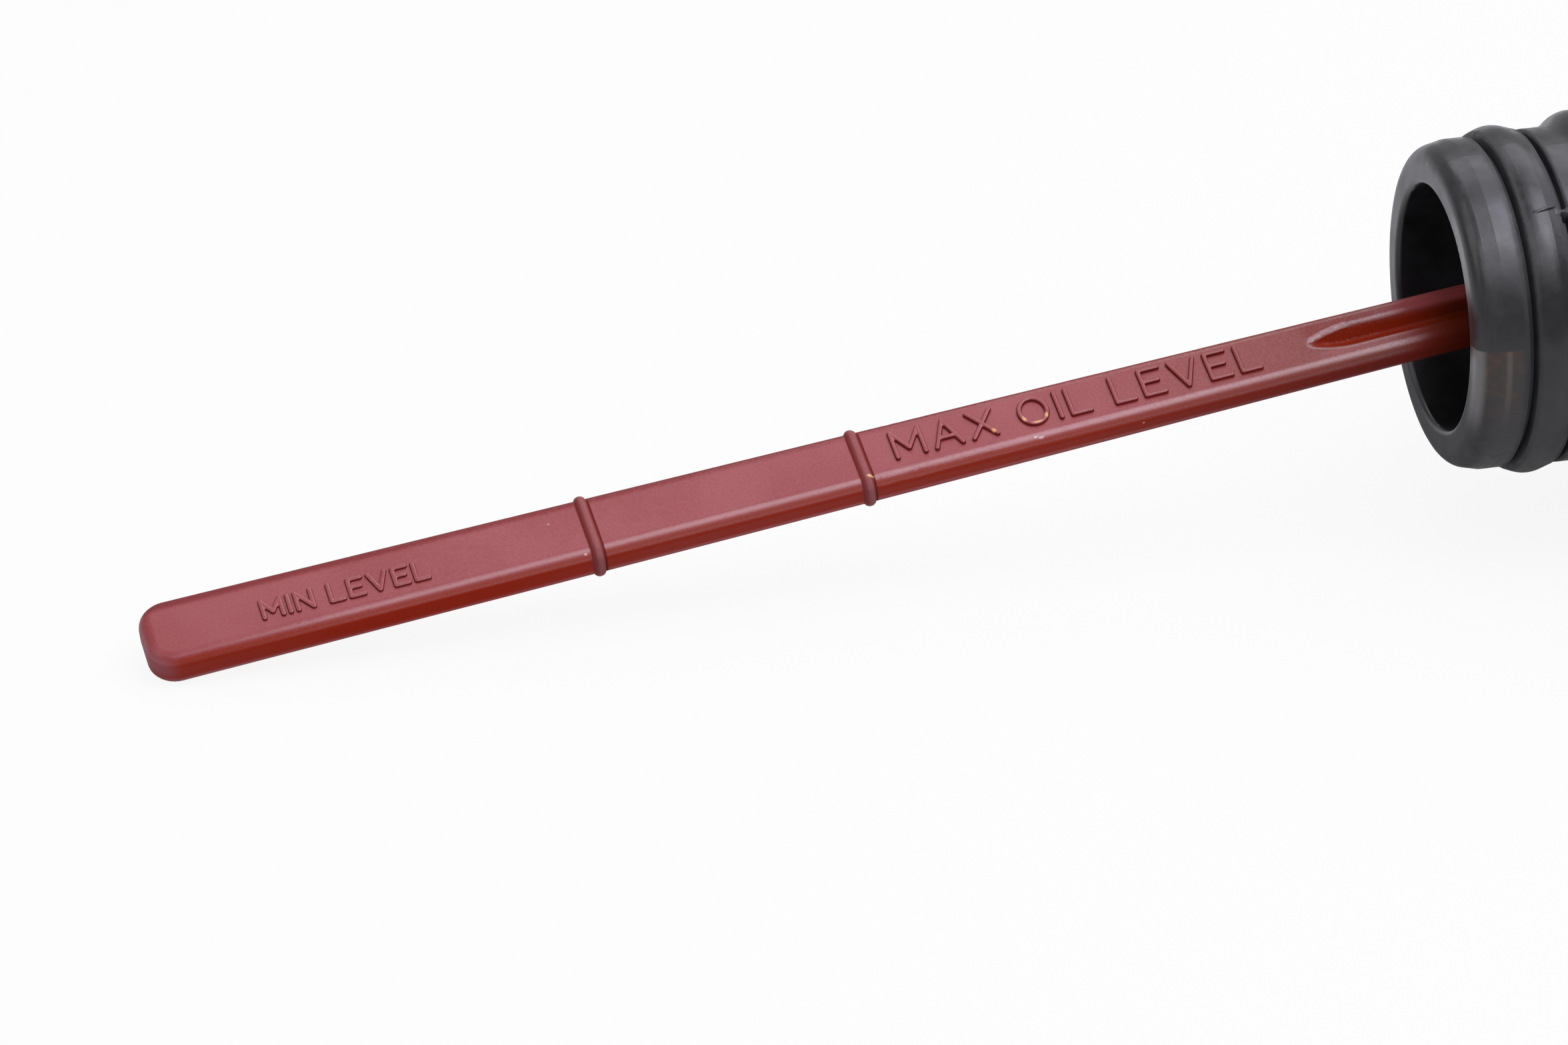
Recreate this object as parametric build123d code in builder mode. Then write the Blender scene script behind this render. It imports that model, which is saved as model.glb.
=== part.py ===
"""Engine oil dipstick: a moulded plastic gauge blade held in a ribbed rubber sealing plug.

Millimetres, +Z up. The dipstick lies on a surface at z = 0 with the plug's axis level along X,
the head at +X and the blade at -X. The soft plug lets the blade droop until its tip rests too.
The origin is on that surface, under the middle of the whole dipstick.
"""
import os
from math import asin, atan2, cos, degrees, hypot, radians, sin, sqrt, tan

from build123d import *

# Gauge blade: tapered bar, broadest at the tip
blade_reach = 131.35
tip_width = 7.9
tip_thickness = 3.45
root_width = 6.2
root_thickness = 2.7
edge_round = 1.15
tip_corner = 2.6
blade_roll = 16.8

# Level beads: half-round rings moulded right round the blade
low_bead_from_tip = 41.05
bead_spacing = 25.1
bead_radius = 0.6
bead_height = 0.36

# Flutes: one along each broad face of the shank, running out to a point at both ends
flute_start = 23.2
flute_end = 1.2
flute_width = 2.65
flute_slope = 45.0
flute_sweep = 9.4
flute_floor_round = 0.5
flute_rim_round = 0.8

# Root: pushed into a blind socket in the plug
socket_depth = 8.0
socket_clearance = 0.15

# Plug mouth: hollow skirt with a bevelled lip
skirt_wall = 3.8
hollow_depth = 11.3
lip_drop = 0.6
bevel_length = 2.65
mouth_round = 0.5
lip_round = 1.7
hollow_round = 1.6

# Sealing land and rib, each ending in a narrow groove
land_radius = 15.0
land_length = 1.9
land_round = 0.4
rib_length = 3.6
rib_crest = 1.6
rib_rise = 0.95
rib_shoulder = 0.3
rib_round = 2.4
groove_width = 0.75
groove_depth = 0.7
groove_wall = 0.2
groove_round = 0.3

# Waist and stop ring behind the rib
waist_length = 2.6
waist_rise = 0.15
ring_length = 5.0
ring_rise = 2.1
ring_round = 2.0
neck_length = 2.6
neck_drop = 0.6
neck_round = 0.7

# Head: plain round grip with a finger flat above and below
head_radius = 23.4
head_thickness = 7.0
head_round = 2.6
flat_depth = 1.5

# Stations along the plug's axis, from the mouth
land_end = bevel_length + land_length
rib_start = land_end + groove_width
rib_end = rib_start + rib_length
waist_start = rib_end + groove_width
ring_start = waist_start + waist_length
ring_middle = ring_start + ring_length / 2
ring_end = ring_start + ring_length
head_start = ring_end + neck_length
plug_length = head_start + head_thickness

# Stations along the blade, from the mouth of its socket
low_bead = blade_reach - low_bead_from_tip
high_bead = low_bead - bead_spacing

# The droop that brings the rounded tip's low corner and the head's flat down on one surface
axis_height = head_radius - flat_depth
roll = radians(blade_roll)
corner_across = (tip_width / 2 - edge_round) * sin(roll)
corner_down = (tip_thickness / 2 - edge_round) * cos(roll)
low_corner = corner_across + corner_down + edge_round
rest_reach = blade_reach - edge_round
lean = asin(axis_height / hypot(rest_reach, low_corner)) - atan2(low_corner, rest_reach)

# Places: the plug's mouth, the socket's mouth and the blade that leans out of it
overall_length = blade_reach * cos(lean) - hollow_depth + plug_length
mouth_x = overall_length / 2 - plug_length
plug_plane = Plane(origin=(mouth_x, 0, axis_height), x_dir=(1, 0, 0), z_dir=(0, -1, 0))
plug_axis = Axis(plug_plane.origin, plug_plane.x_dir)
blade_plane = Plane(
    origin=(mouth_x + hollow_depth, 0, axis_height),
    x_dir=(sin(roll) * sin(lean), -cos(roll), -sin(roll) * cos(lean)),
    z_dir=(-cos(lean), 0, -sin(lean)),
)
along_blade = Axis(blade_plane.origin, blade_plane.z_dir)
through_blade = Axis(blade_plane.origin, blade_plane.y_dir)


def blade_size(station):
    """Width and thickness of the tapered blade at a station along it."""
    share = (station + socket_depth) / (blade_reach + socket_depth)
    width = root_width + share * (tip_width - root_width)
    thickness = root_thickness + share * (tip_thickness - root_thickness)
    return width, thickness


def add_bead(station):
    """Sweep a half-round bead right round the blade at a station along it."""
    sink = bead_radius - bead_height
    width, thickness = blade_size(station)
    half_width = width / 2 - sink
    half_thickness = thickness / 2 - sink
    with BuildLine(blade_plane.offset(station)) as ring:
        FilletPolyline(
            (half_width, half_thickness),
            (-half_width, half_thickness),
            (-half_width, -half_thickness),
            (half_width, -half_thickness),
            radius=edge_round - sink,
            close=True,
        )
    with BuildSketch(Plane(origin=ring.line @ 0, z_dir=ring.line % 0)) as section:
        Circle(bead_radius)
    sweep(sections=section.sketch, path=ring.wire())


def flute_cutter():
    """Sweep the flute's rounded V along its floor, which rises at both ends to run out of the face."""
    slope = radians(flute_slope)
    point_depth = flute_width / 2 * tan(slope)
    depth = point_depth - flute_floor_round * (1 / cos(slope) - 1)
    runout = sqrt(depth * (2 * flute_sweep - depth))
    face_height = blade_size(flute_start)[1] / 2
    point_height = face_height - point_depth
    rise = 2 * degrees(asin(runout / flute_sweep))
    side_plane = Plane(blade_plane.origin, x_dir=blade_plane.z_dir, z_dir=-blade_plane.x_dir)
    with BuildLine(side_plane) as floor_line:
        straight = Line((flute_end + runout, point_height), (flute_start - runout, point_height))
        JernArc(straight @ 0, -(straight % 0), flute_sweep, -rise)
        JernArc(straight @ 1, straight % 1, flute_sweep, rise)
    path = floor_line.wire()
    half_width = 2 * tip_thickness / tan(slope)
    with BuildSketch(Plane(path @ 0, x_dir=blade_plane.x_dir, z_dir=path % 0)) as section:
        with BuildLine():
            walls = FilletPolyline(
                (-half_width, 2 * tip_thickness),
                (0, 0),
                (half_width, 2 * tip_thickness),
                radius=flute_floor_round,
            )
            Line(walls @ 1, walls @ 0)
        make_face()
    with BuildPart() as cutter:
        sweep(sections=section.sketch, path=path)
    return cutter.part


with BuildPart() as gauge_blade:
    # Tapered bar from the end of the root to the tip
    with BuildSketch(blade_plane.offset(-socket_depth)):
        Rectangle(root_width, root_thickness)
    with BuildSketch(blade_plane.offset(blade_reach)):
        Rectangle(tip_width, tip_thickness)
    loft()

    # Tip corners, then every edge but those at the root's end
    tip_face = gauge_blade.faces().sort_by(along_blade)[-1]
    fillet(tip_face.edges().filter_by(through_blade), radius=tip_corner)
    broad_faces = gauge_blade.faces().sort_by(through_blade)
    long_edges = [
        edge
        for face in (broad_faces[0], broad_faces[-1])
        for edge in face.edges().sort_by(along_blade)[1:]
    ]
    fillet(long_edges, radius=edge_round)

    # Fluted shank
    flute_cut = flute_cutter()
    add(flute_cut, mode=Mode.SUBTRACT)
    mirror(flute_cut, about=Plane(blade_plane.origin, z_dir=blade_plane.y_dir), mode=Mode.SUBTRACT)
    for outward in (blade_plane.y_dir, -blade_plane.y_dir):
        fluted_face = gauge_blade.faces().sort_by(Axis(blade_plane.origin, outward))[-1]
        fillet(fluted_face.inner_wires()[0].edges(), radius=flute_rim_round)

    # Level beads
    for station in (low_bead, high_bead):
        add_bead(station)

with BuildPart() as sealing_plug:
    # Turned profile: station along the axis, radius and rounding of each corner
    bore_radius = land_radius - skirt_wall
    lip_radius = land_radius - lip_drop
    neck_radius = land_radius - neck_drop
    groove_radius = land_radius - groove_depth
    rib_side = land_radius + rib_shoulder
    waist_radius = land_radius + waist_rise
    corners = [
        (hollow_depth, bore_radius, hollow_round),
        (0, bore_radius, mouth_round),
        (0, lip_radius, lip_round),
        (bevel_length, land_radius, land_round),
        (land_end, land_radius, 0),
        (land_end + groove_wall, groove_radius, 0),
        (rib_start - groove_wall, groove_radius, 0),
        (rib_start, rib_side, groove_round),
        (rib_start + rib_crest, land_radius + rib_rise, rib_round),
        (rib_end, rib_side, 0),
        (rib_end + groove_wall, groove_radius, 0),
        (waist_start - groove_wall, groove_radius, 0),
        (waist_start, waist_radius, groove_round),
        (ring_start, waist_radius, ring_round),
        (ring_middle, land_radius + ring_rise, ring_round),
        (ring_end, neck_radius, neck_round),
        (head_start, neck_radius, neck_round),
        (head_start, head_radius, head_round),
        (plug_length, head_radius, head_round),
    ]
    with BuildSketch(plug_plane):
        with BuildLine():
            profile = FilletPolyline(
                (hollow_depth, 0),
                *[(station, radius) for station, radius, rounding in corners],
                (plug_length, 0),
                radius=[rounding for station, radius, rounding in corners],
            )
            Line(profile @ 1, profile @ 0)
        make_face()
    revolve(axis=plug_axis)

    # Finger flats
    for outward in (plug_plane.y_dir, -plug_plane.y_dir):
        flat_plane = Plane(plug_plane.origin, x_dir=plug_plane.x_dir, z_dir=outward)
        split(bisect_by=flat_plane.offset(axis_height), keep=Keep.BOTTOM)

    # Blind socket for the blade's root
    for station in (-socket_depth - socket_clearance, edge_round):
        width, thickness = blade_size(station)
        with BuildSketch(blade_plane.offset(station)):
            RectangleRounded(
                width + 2 * socket_clearance,
                thickness + 2 * socket_clearance,
                edge_round + socket_clearance,
            )
    loft(mode=Mode.SUBTRACT)

gauge_blade.part.label = "gauge_blade"
sealing_plug.part.label = "sealing_plug"

os.makedirs("parts", exist_ok=True)
export_step(gauge_blade.part, "parts/gauge_blade.step")
export_step(sealing_plug.part, "parts/sealing_plug.step")
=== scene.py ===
"""Looks of the engine oil dipstick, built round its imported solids.

A satin red moulded gauge blade with raised level words, held in a scuffed black rubber plug.
Sizes of pieces are in millimetres, and every mesh is in metres in the frame of the solids.
"""

import logging
from dataclasses import dataclass, field
from enum import Enum
from math import asin, atan2, cos, hypot, pi, radians, sin
from typing import Iterable, Optional, Sequence, Union

import bmesh
import bpy
from mathutils import Matrix, Vector


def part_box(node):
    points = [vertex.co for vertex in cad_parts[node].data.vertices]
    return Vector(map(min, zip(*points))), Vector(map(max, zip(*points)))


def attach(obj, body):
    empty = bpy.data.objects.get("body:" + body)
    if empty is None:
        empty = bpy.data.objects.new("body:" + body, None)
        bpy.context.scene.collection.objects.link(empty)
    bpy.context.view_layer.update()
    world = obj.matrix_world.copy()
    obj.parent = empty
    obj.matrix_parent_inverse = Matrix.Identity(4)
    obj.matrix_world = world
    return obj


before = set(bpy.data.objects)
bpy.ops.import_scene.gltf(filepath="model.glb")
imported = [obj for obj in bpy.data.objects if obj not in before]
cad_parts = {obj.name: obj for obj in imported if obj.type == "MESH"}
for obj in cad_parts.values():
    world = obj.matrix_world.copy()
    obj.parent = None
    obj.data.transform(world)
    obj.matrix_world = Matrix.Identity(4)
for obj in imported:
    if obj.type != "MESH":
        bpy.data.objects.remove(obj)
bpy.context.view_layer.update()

MM = 0.001
BODY = "root"
LAND_RADIUS = 15.0
BAR_SIDES = 16
BALL_RINGS = 10
EASE_SHARE = 0.5
EASE_ROUNDS = 4
IMAGE_WIDTH = 2352
LOG = logging.getLogger("dipstick")

Socket = bpy.types.NodeSocket
Value = Union[float, Sequence[float], Socket]
Point = tuple[float, float]
Colour = tuple[float, float, float]
Tint = Union[Colour, Socket]
# Where a smooth step starts and ends, then its two levels where they aren't 0 and 1
Step = tuple[float, ...]
# Steps that are multiplied, each after the name of the value that it steps
Mask = tuple[tuple[Union[str, float], ...], ...]


class Slot(Enum):
    """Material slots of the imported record."""

    BLADE = "blade_plastic"
    PLUG = "plug_rubber"


class Words(Enum):
    """Plain level words moulded on the blade."""

    LOW = "MIN LEVEL"
    HIGH = "MAX OIL LEVEL"


class Effect(Enum):
    """Shader node groups that more than one finish uses."""

    GRAIN = "mould_grain"
    SPOT = "worn_spot"
    STREAKS = "fine_streaks"


def rgba(colour: Colour) -> tuple[float, float, float, float]:
    """Opaque RGBA of a colour."""
    return (*colour, 1.0)


class Graph:
    """Adds nodes to a node tree and joins them."""

    def __init__(self, tree: bpy.types.NodeTree) -> None:
        """Hold the tree that the nodes go in."""
        self.tree = tree

    def add(self, kind: str, inputs: Optional[dict] = None, **settings: object) -> bpy.types.Node:
        """Add a node.

        Args:
            kind: Blender's type name of the node.
            inputs: Sockets to link or plain values to set, by name or index.
            settings: Properties of the node itself.

        Returns:
            The new node.
        """
        node = self.tree.nodes.new(kind)
        for name, setting in settings.items():
            setattr(node, name, setting)
        for key, value in (inputs or {}).items():
            self.feed(node.inputs[key], value)
        return node

    def feed(self, socket: Socket, value: Value) -> None:
        """Link a socket to an input, or set the input's plain value.

        Args:
            socket: The input.
            value: What it takes.
        """
        if isinstance(value, bpy.types.NodeSocket):
            self.tree.links.new(value, socket)
        else:
            socket.default_value = value

    def math(self, operation: str, *values: Value, clamp: bool = False) -> Socket:
        """Join values by a Math node.

        Args:
            operation: Blender's name of the operation.
            values: As many values as the operation takes.
            clamp: Whether the result stays from 0 to 1.

        Returns:
            The result.
        """
        inputs = dict(enumerate(values))
        return self.add("ShaderNodeMath", inputs, operation=operation, use_clamp=clamp).outputs[0]

    def times(self, first: Value, *others: Value) -> Socket:
        """Multiply values.

        Args:
            first: First value.
            others: The values that it is multiplied by.

        Returns:
            The product.
        """
        for value in others:
            first = self.math("MULTIPLY", first, value)
        return first

    def ramp(self, value: Value, start: float, end: float, low: float = 0.0, high: float = 1.0) -> Socket:
        """Step a value smoothly from one level to another.

        Args:
            value: What is stepped.
            start: Where the step starts.
            end: Where the step ends.
            low: Level before the start.
            high: Level after the end.

        Returns:
            The stepped value.
        """
        inputs = {0: value, 1: start, 2: end, 3: low, 4: high}
        return self.add("ShaderNodeMapRange", inputs, interpolation_type="SMOOTHSTEP").outputs[0]

    def blend(self, share: Value, first: Tint, second: Tint) -> Socket:
        """Mix two colours.

        Args:
            share: Share of the second colour.
            first: Colour where the share is 0.
            second: Colour where the share is 1.

        Returns:
            The mixed colour.
        """
        under, over = [rgba(colour) if isinstance(colour, tuple) else colour for colour in (first, second)]
        return self.add("ShaderNodeMix", {0: share, 6: under, 7: over}, data_type="RGBA").outputs[2]

    def noise(self, place: Value, scale: Value, detail: float = 2.0, roughness: float = 0.5) -> Socket:
        """Noise value at a place, with features of about 1 / scale."""
        inputs = {"Vector": place, "Scale": scale, "Detail": detail, "Roughness": roughness}
        return self.add("ShaderNodeTexNoise", inputs).outputs[0]

    def effect(self, effect: Effect, **inputs: Value) -> bpy.types.Node:
        """Place a shared effect.

        Args:
            effect: Which effect.
            inputs: Its values or links, by the input's name.

        Returns:
            The group node.
        """
        node = self.add("ShaderNodeGroup", node_tree=EffectShop.get(effect))
        for name, value in inputs.items():
            self.feed(node.inputs[name], value)
        return node


class EffectShop:
    """Makes each shared effect once, as a shader node group."""

    NOISE_MIDDLE = 0.5
    PATCH_STEP: Step = (0.35, 0.65)
    RAGGED_PER_MM = 2.2
    LINE_STEP: Step = (0.62, 0.72)
    BREAKS_PER_MM = 0.35
    BREAK_STEP: Step = (0.42, 0.62)

    @classmethod
    def get(cls, effect: Effect) -> bpy.types.NodeTree:
        """Node group of an effect, made the first time that it is asked for.

        Args:
            effect: Which effect.

        Returns:
            The group.
        """
        found = bpy.data.node_groups.get(effect.value)
        if found is None:
            makers = {Effect.GRAIN: cls.grain, Effect.SPOT: cls.spot, Effect.STREAKS: cls.streaks}
            found = makers[effect](effect.value)
        return found

    @staticmethod
    def start(name: str, inputs: dict[str, str], outputs: Sequence[str]) -> tuple[Graph, dict, bpy.types.Node]:
        """Start a group.

        Args:
            name: Name of the group.
            inputs: Kind of socket, Float or Vector, by the input's name.
            outputs: Names of the outputs, which are all values.

        Returns:
            The group's graph, its inputs by name, and its output node.
        """
        tree = bpy.data.node_groups.new(name, "ShaderNodeTree")
        for title, kind in inputs.items():
            tree.interface.new_socket(title, in_out="INPUT", socket_type=f"NodeSocket{kind}")
        for title in outputs:
            tree.interface.new_socket(title, in_out="OUTPUT", socket_type="NodeSocketFloat")
        graph = Graph(tree)
        entry = graph.add("NodeGroupInput")
        return graph, {title: entry.outputs[title] for title in inputs}, graph.add("NodeGroupOutput")

    @classmethod
    def grain(cls, name: str) -> bpy.types.NodeTree:
        """Moulded skin: a fine grain, soft patches and their sum as a height.

        Args:
            name: Name of the group.

        Returns:
            The group.
        """
        inputs = {"Place": "Vector", "Fine": "Float", "Broad": "Float", "Relief": "Float"}
        graph, given, result = cls.start(name, inputs, ("Height", "Grain", "Patch"))
        fine = graph.noise(given["Place"], given["Fine"], detail=3.0, roughness=0.65)
        broad = graph.noise(given["Place"], given["Broad"], detail=3.0, roughness=0.55)
        graph.feed(result.inputs["Height"], graph.math("MULTIPLY_ADD", fine, given["Relief"], broad))
        graph.feed(result.inputs["Grain"], fine)
        graph.feed(result.inputs["Patch"], graph.ramp(broad, *cls.PATCH_STEP))
        return graph.tree

    @classmethod
    def spot(cls, name: str) -> bpy.types.NodeTree:
        """Soft-edged spot of given half-sizes round a centre, with a ragged edge.

        Args:
            name: Name of the group.

        Returns:
            The group.
        """
        inputs = {"Place": "Vector", "Centre": "Vector", "Reach": "Vector", "Ragged": "Float", "Edge": "Float"}
        graph, given, result = cls.start(name, inputs, ("Mask",))
        offset = graph.add("ShaderNodeVectorMath", {0: given["Place"], 1: given["Centre"]}, operation="SUBTRACT")
        share = graph.add("ShaderNodeVectorMath", {0: offset.outputs[0], 1: given["Reach"]}, operation="DIVIDE")
        length = graph.add("ShaderNodeVectorMath", {0: share.outputs[0]}, operation="LENGTH").outputs["Value"]
        noise = graph.noise(given["Place"], cls.RAGGED_PER_MM, detail=4.0, roughness=0.7)
        ragged = graph.times(graph.math("SUBTRACT", noise, cls.NOISE_MIDDLE), given["Ragged"])
        inside = graph.math("SUBTRACT", 1.0, graph.math("ADD", length, ragged))
        graph.feed(result.inputs["Mask"], graph.math("DIVIDE", inside, given["Edge"], clamp=True))
        return graph.tree

    @classmethod
    def streaks(cls, name: str) -> bpy.types.NodeTree:
        """Sparse fine rubbing marks along the first axis of a place.

        Args:
            name: Name of the group.

        Returns:
            The group.
        """
        inputs = {"Place": "Vector", "Pitch": "Float", "Run": "Float", "Amount": "Float"}
        graph, given, result = cls.start(name, inputs, ("Mask",))
        along, across, up = graph.add("ShaderNodeSeparateXYZ", {0: given["Place"]}).outputs
        drawn_out = {0: graph.math("DIVIDE", along, given["Run"]), 1: across, 2: up}
        place = graph.add("ShaderNodeCombineXYZ", drawn_out).outputs[0]
        lines = graph.ramp(graph.noise(place, given["Pitch"], detail=2.0, roughness=0.6), *cls.LINE_STEP)
        breaks = graph.ramp(graph.noise(given["Place"], cls.BREAKS_PER_MM, detail=3.0), *cls.BREAK_STEP)
        graph.feed(result.inputs["Mask"], graph.times(lines, breaks, given["Amount"]))
        return graph.tree


@dataclass(frozen=True)
class Mark:
    """A spot of colour at a set place on a piece, used for wear, stains and painted sheen.

    The place and the half-sizes are in the piece's own coordinates.
    """

    centre: tuple[float, float, float]
    reach: tuple[float, float, float]
    colour: Colour
    strength: float = 1.0
    ragged: float = 0.5
    edge: float = 0.35


def start_material(name: str) -> tuple[bpy.types.Material, Graph, bpy.types.Node]:
    """Start a material.

    Args:
        name: Name of the material.

    Returns:
        The material, its graph and its Principled shader.
    """
    material = bpy.data.materials.new(name)
    material.use_nodes = True
    return material, Graph(material.node_tree), material.node_tree.nodes["Principled BSDF"]


def place_in(graph: Graph, axes: Matrix, origin: Vector) -> Socket:
    """Place on the surface in a piece's own axes, in millimetres.

    Args:
        graph: Graph of the material.
        axes: Rows are the piece's axes.
        origin: The piece's origin, in metres.

    Returns:
        The place, as a vector socket.
    """
    coordinates = graph.add("ShaderNodeTexCoord").outputs["Object"]
    shift = -(axes @ origin) / MM
    turn = axes.to_euler("XYZ")
    mapping = graph.add("ShaderNodeMapping", {
        "Vector": coordinates, "Location": shift, "Rotation": turn, "Scale": (1 / MM, 1 / MM, 1 / MM),
    })
    return mapping.outputs[0]


def paint_marks(graph: Graph, colour: Socket, place: Socket, marks: Iterable[Mark]) -> Socket:
    """Paint spots of wear, stain and painted sheen over a colour.

    Args:
        graph: Graph of the material.
        colour: Colour under the spots.
        place: Place in the piece's own coordinates.
        marks: The spots.

    Returns:
        The colour with the spots.
    """
    for mark in marks:
        spot = graph.effect(Effect.SPOT, Place=place, Centre=mark.centre, Reach=mark.reach,
                            Ragged=mark.ragged, Edge=mark.edge)
        share = graph.times(spot.outputs["Mask"], mark.strength)
        colour = graph.blend(share, colour, mark.colour)
    return colour


@dataclass(frozen=True)
class Skin:
    """Grain, rubbing marks and polish of a moulded skin."""

    grain_per_mm: float
    patch_per_mm: float
    grain_relief: float
    streak_pitch: float
    streak_run: float
    streak_amount: float
    roughness: float
    patch_roughness: float
    streak_roughness: float
    specular: float
    bump_strength: float
    relief_mm: float

    def effects(self, graph: Graph, place: Socket, flow: Socket) -> tuple[bpy.types.Node, Socket]:
        """Place the grain and the rubbing marks.

        Args:
            graph: Graph of the material.
            place: Place on the skin.
            flow: The same place, with the way that the marks run as its first axis.

        Returns:
            The grain's group node and the mask of the marks.
        """
        grain = graph.effect(Effect.GRAIN, Place=place, Fine=self.grain_per_mm, Broad=self.patch_per_mm,
                             Relief=self.grain_relief)
        streaks = graph.effect(Effect.STREAKS, Place=flow, Pitch=self.streak_pitch, Run=self.streak_run,
                               Amount=self.streak_amount)
        return grain, streaks.outputs["Mask"]

    def rough(self, graph: Graph, grain: bpy.types.Node, streaks: Socket) -> Socket:
        """Roughness of the skin.

        Args:
            graph: Graph of the material.
            grain: The grain's group node.
            streaks: Mask of the rubbing marks.

        Returns:
            The roughness.
        """
        patchy = graph.math("MULTIPLY_ADD", grain.outputs["Patch"], self.patch_roughness, self.roughness)
        return graph.math("ADD", patchy, graph.times(streaks, self.streak_roughness))

    def finish(self, graph: Graph, shader: bpy.types.Node, height: Socket) -> None:
        """Set the shader's polish and its relief.

        Args:
            graph: Graph of the material.
            shader: The material's Principled shader.
            height: Height of the relief.
        """
        shader.inputs["Specular IOR Level"].default_value = self.specular
        bump = graph.add("ShaderNodeBump", {
            "Height": height, "Strength": self.bump_strength, "Distance": self.relief_mm * MM,
        })
        graph.feed(shader.inputs["Normal"], bump.outputs[0])


@dataclass(frozen=True)
class Place:
    """Where a point of a piece's skin is, as named values in one material."""

    graph: Graph
    vector: Socket
    values: dict[str, Socket]

    def mask(self, mask: Mask) -> Socket:
        """Product of a mask's steps."""
        return self.graph.times(*[self.graph.ramp(self.values[name], *step) for name, *step in mask])

    def near(self, name: str, centre: Value, step: Step) -> Socket:
        """Smooth step of a value's distance from a centre."""
        apart = self.graph.math("SUBTRACT", self.values[name], centre)
        return self.graph.ramp(self.graph.math("ABSOLUTE", apart), *step)

    def joined(self, *names: str) -> Socket:
        """Three of the values as a vector."""
        inputs = {index: self.values[name] for index, name in enumerate(names)}
        return self.graph.add("ShaderNodeCombineXYZ", inputs).outputs[0]


def blade_place(graph: Graph, axes: Matrix, origin: Vector, face: Point) -> Place:
    """Find the place on the blade.

    Its values are across, up and along the blade, the sizes of the first two, the lift over the broad faces,
    the normal's share up (facing) and the size of that (level).

    Args:
        graph: Graph of the material.
        axes: Rows are across the blade, out of its broad face, and along it to the tip.
        origin: The blade's origin, in metres.
        face: Height of the broad face at station 0, and its rise for each millimetre along.

    Returns:
        The place.
    """
    vector = place_in(graph, axes, origin)
    across, up, along = graph.add("ShaderNodeSeparateXYZ", {0: vector}).outputs
    normal = graph.add("ShaderNodeNewGeometry").outputs["Normal"]
    product = graph.add("ShaderNodeVectorMath", {0: normal, 1: axes[1]}, operation="DOT_PRODUCT")
    facing = product.outputs["Value"]
    height = graph.math("ABSOLUTE", up)
    start, rise = face
    lift = graph.math("SUBTRACT", height, graph.math("MULTIPLY_ADD", along, rise, start))
    return Place(graph, vector, {
        "across": across, "up": up, "along": along, "aside": graph.math("ABSOLUTE", across), "height": height,
        "lift": lift, "facing": facing, "level": graph.math("ABSOLUTE", facing),
    })


def plug_place(graph: Graph, origin: Vector) -> Place:
    """Find the place on the plug.

    Its values are the station along the axis from the mouth, the radius, and the arc up from the camera's side,
    in millimetres on the sealing land. The arc jumps on the far side.

    Args:
        graph: Graph of the material.
        origin: Middle of the plug's mouth, in metres.

    Returns:
        The place.
    """
    vector = place_in(graph, Matrix.Identity(3), origin)
    station, depth, height = graph.add("ShaderNodeSeparateXYZ", {0: vector}).outputs
    side = graph.times(depth, -1.0)
    arc = graph.times(graph.math("ARCTAN2", height, side), LAND_RADIUS)
    square = graph.math("ADD", graph.times(side, side), graph.times(height, height))
    return Place(graph, vector, {"station": station, "arc": arc, "radius": graph.math("SQRT", square)})


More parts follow.
